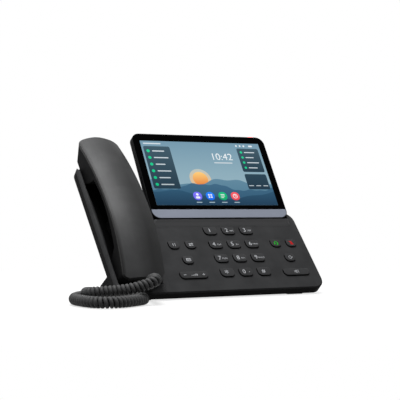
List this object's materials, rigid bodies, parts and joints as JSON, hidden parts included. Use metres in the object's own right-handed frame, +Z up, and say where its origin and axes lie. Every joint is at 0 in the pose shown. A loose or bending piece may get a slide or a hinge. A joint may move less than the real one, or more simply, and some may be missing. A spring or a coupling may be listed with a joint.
{
  "type": "desk ip phone",
  "caption": "Desk IP phone: sloping base with sprung dial and function keys, tilting colour screen, lift-off handset in a cradle on a curly cord, and a rear stand.",
  "frame": {"origin": "on the desk, under the middle of the phone's outline without its cord", "axes": "+X to the user's right, +Y away from the user, +Z up"},
  "size_m": [0.3052, 0.2135, 0.1784],
  "materials": {
    "dark_plastic": "fine moulded texture",
    "grille_plastic": "fine moulded texture",
    "key_plastic": "satin",
    "chin_paint": "satin metallic lacquer",
    "cover_glass": "polished",
    "display": "lit screen",
    "circuit_board": "lacquered",
    "rubber": "matt",
    "steel": "plain",
    "speaker_metal": "plain",
    "socket_plastic": "moulded",
    "light_red": "frosted",
    "cord_rubber": "satin"
  },
  "bodies": {
    "base": {"front_housing": "dark_plastic", "rear_housing": "dark_plastic", "housing_screws": "steel", "keypad_board": "circuit_board", "key_mat": "rubber", "main_board": "circuit_board", "handset_jack": "socket_plastic", "headset_jack": "socket_plastic", "network_jacks": "socket_plastic", "usb_socket": "socket_plastic", "power_socket": "socket_plastic", "speaker_grille": "grille_plastic", "loudspeaker": "speaker_metal", "hook_switch": "socket_plastic", "base_microphone": "speaker_metal", "stand": "dark_plastic", "rubber_feet": "rubber", "hinge_brackets": "steel", "base_plug": "socket_plastic", "handset_cord": "cord_rubber"},
    "screen": {"screen_frame": "dark_plastic", "screen_rear_cover": "dark_plastic", "screen_screws": "steel", "cover_glass": "cover_glass", "chin_strip": "chin_paint", "display_panel": "display", "screen_board": "circuit_board", "status_light": "light_red", "hinge_pins": "steel"},
    "handset": {"handset_outer_shell": "dark_plastic", "handset_inner_shell": "dark_plastic", "receiver_capsule": "speaker_metal", "handset_microphone": "speaker_metal", "handset_weight": "steel", "cord_socket": "socket_plastic", "handset_plug": "socket_plastic"},
    "hook_plunger": {"hook_plunger": "key_plastic"},
    "key_1": {"key_1": "key_plastic"},
    "key_2": {"key_2": "key_plastic"},
    "key_3": {"key_3": "key_plastic"},
    "key_4": {"key_4": "key_plastic"},
    "key_5": {"key_5": "key_plastic"},
    "key_6": {"key_6": "key_plastic"},
    "key_7": {"key_7": "key_plastic"},
    "key_8": {"key_8": "key_plastic"},
    "key_9": {"key_9": "key_plastic"},
    "key_star": {"key_star": "key_plastic"},
    "key_0": {"key_0": "key_plastic"},
    "key_hash": {"key_hash": "key_plastic"},
    "key_hold": {"key_hold": "key_plastic"},
    "key_transfer": {"key_transfer": "key_plastic"},
    "key_message": {"key_message": "key_plastic"},
    "key_headset": {"key_headset": "key_plastic"},
    "key_mute": {"key_mute": "key_plastic"},
    "key_redial": {"key_redial": "key_plastic"},
    "key_speaker": {"key_speaker": "key_plastic"},
    "key_volume": {"key_volume": "key_plastic"}
  },
  "joints": [
    {"name": "handset_lift", "type": "slide", "parent": "base", "child": "handset", "axis": [0, 0, 1], "range_m": [0, 0.06]},
    {"name": "hook_rise", "type": "slide", "parent": "base", "child": "hook_plunger", "axis": [0, -0.7431, 0.6691], "range_m": [0, 0.003]},
    {"name": "screen_tilt", "type": "hinge", "parent": "base", "child": "screen", "pos_m": [0.0291, 0.01033, 0.09333], "axis": [1, 0, 0], "range_deg": [-8, 10]},
    {"name": "key_1_press", "type": "slide", "parent": "base", "child": "key_1", "axis": [0, 0.7431, -0.6691], "range_m": [0, 0.001], "stiffness_N_per_m": 600, "springref_m": -0.001},
    {"name": "key_2_press", "type": "slide", "parent": "base", "child": "key_2", "axis": [0, 0.7431, -0.6691], "range_m": [0, 0.001], "stiffness_N_per_m": 600, "springref_m": -0.001},
    {"name": "key_3_press", "type": "slide", "parent": "base", "child": "key_3", "axis": [0, 0.7431, -0.6691], "range_m": [0, 0.001], "stiffness_N_per_m": 600, "springref_m": -0.001},
    {"name": "key_4_press", "type": "slide", "parent": "base", "child": "key_4", "axis": [0, 0.7431, -0.6691], "range_m": [0, 0.001], "stiffness_N_per_m": 600, "springref_m": -0.001},
    {"name": "key_5_press", "type": "slide", "parent": "base", "child": "key_5", "axis": [0, 0.7431, -0.6691], "range_m": [0, 0.001], "stiffness_N_per_m": 600, "springref_m": -0.001},
    {"name": "key_6_press", "type": "slide", "parent": "base", "child": "key_6", "axis": [0, 0.7431, -0.6691], "range_m": [0, 0.001], "stiffness_N_per_m": 600, "springref_m": -0.001},
    {"name": "key_7_press", "type": "slide", "parent": "base", "child": "key_7", "axis": [0, 0.7431, -0.6691], "range_m": [0, 0.001], "stiffness_N_per_m": 600, "springref_m": -0.001},
    {"name": "key_8_press", "type": "slide", "parent": "base", "child": "key_8", "axis": [0, 0.7431, -0.6691], "range_m": [0, 0.001], "stiffness_N_per_m": 600, "springref_m": -0.001},
    {"name": "key_9_press", "type": "slide", "parent": "base", "child": "key_9", "axis": [0, 0.7431, -0.6691], "range_m": [0, 0.001], "stiffness_N_per_m": 600, "springref_m": -0.001},
    {"name": "key_star_press", "type": "slide", "parent": "base", "child": "key_star", "axis": [0, 0.7431, -0.6691], "range_m": [0, 0.001], "stiffness_N_per_m": 600, "springref_m": -0.001},
    {"name": "key_0_press", "type": "slide", "parent": "base", "child": "key_0", "axis": [0, 0.7431, -0.6691], "range_m": [0, 0.001], "stiffness_N_per_m": 600, "springref_m": -0.001},
    {"name": "key_hash_press", "type": "slide", "parent": "base", "child": "key_hash", "axis": [0, 0.7431, -0.6691], "range_m": [0, 0.001], "stiffness_N_per_m": 600, "springref_m": -0.001},
    {"name": "key_hold_press", "type": "slide", "parent": "base", "child": "key_hold", "axis": [0, 0.7431, -0.6691], "range_m": [0, 0.001], "stiffness_N_per_m": 600, "springref_m": -0.001},
    {"name": "key_transfer_press", "type": "slide", "parent": "base", "child": "key_transfer", "axis": [0, 0.7431, -0.6691], "range_m": [0, 0.001], "stiffness_N_per_m": 600, "springref_m": -0.001},
    {"name": "key_message_press", "type": "slide", "parent": "base", "child": "key_message", "axis": [0, 0.7431, -0.6691], "range_m": [0, 0.001], "stiffness_N_per_m": 600, "springref_m": -0.001},
    {"name": "key_headset_press", "type": "slide", "parent": "base", "child": "key_headset", "axis": [0, 0.7431, -0.6691], "range_m": [0, 0.001], "stiffness_N_per_m": 600, "springref_m": -0.001},
    {"name": "key_mute_press", "type": "slide", "parent": "base", "child": "key_mute", "axis": [0, 0.7431, -0.6691], "range_m": [0, 0.001], "stiffness_N_per_m": 600, "springref_m": -0.001},
    {"name": "key_redial_press", "type": "slide", "parent": "base", "child": "key_redial", "axis": [0, 0.7431, -0.6691], "range_m": [0, 0.001], "stiffness_N_per_m": 600, "springref_m": -0.001},
    {"name": "key_speaker_press", "type": "slide", "parent": "base", "child": "key_speaker", "axis": [0, 0.7431, -0.6691], "range_m": [0, 0.001], "stiffness_N_per_m": 600, "springref_m": -0.001},
    {"name": "volume_rock", "type": "hinge", "parent": "base", "child": "key_volume", "pos_m": [-0.0319, -0.05543, 0.02134], "axis": [0, 0.6691, 0.7431], "range_deg": [-3, 3], "stiffness_Nm_per_rad": 0.4}
  ],
  "couplings": [
    {"joint": "hook_rise", "follows": "handset_lift", "ratio": 0.05}
  ]
}
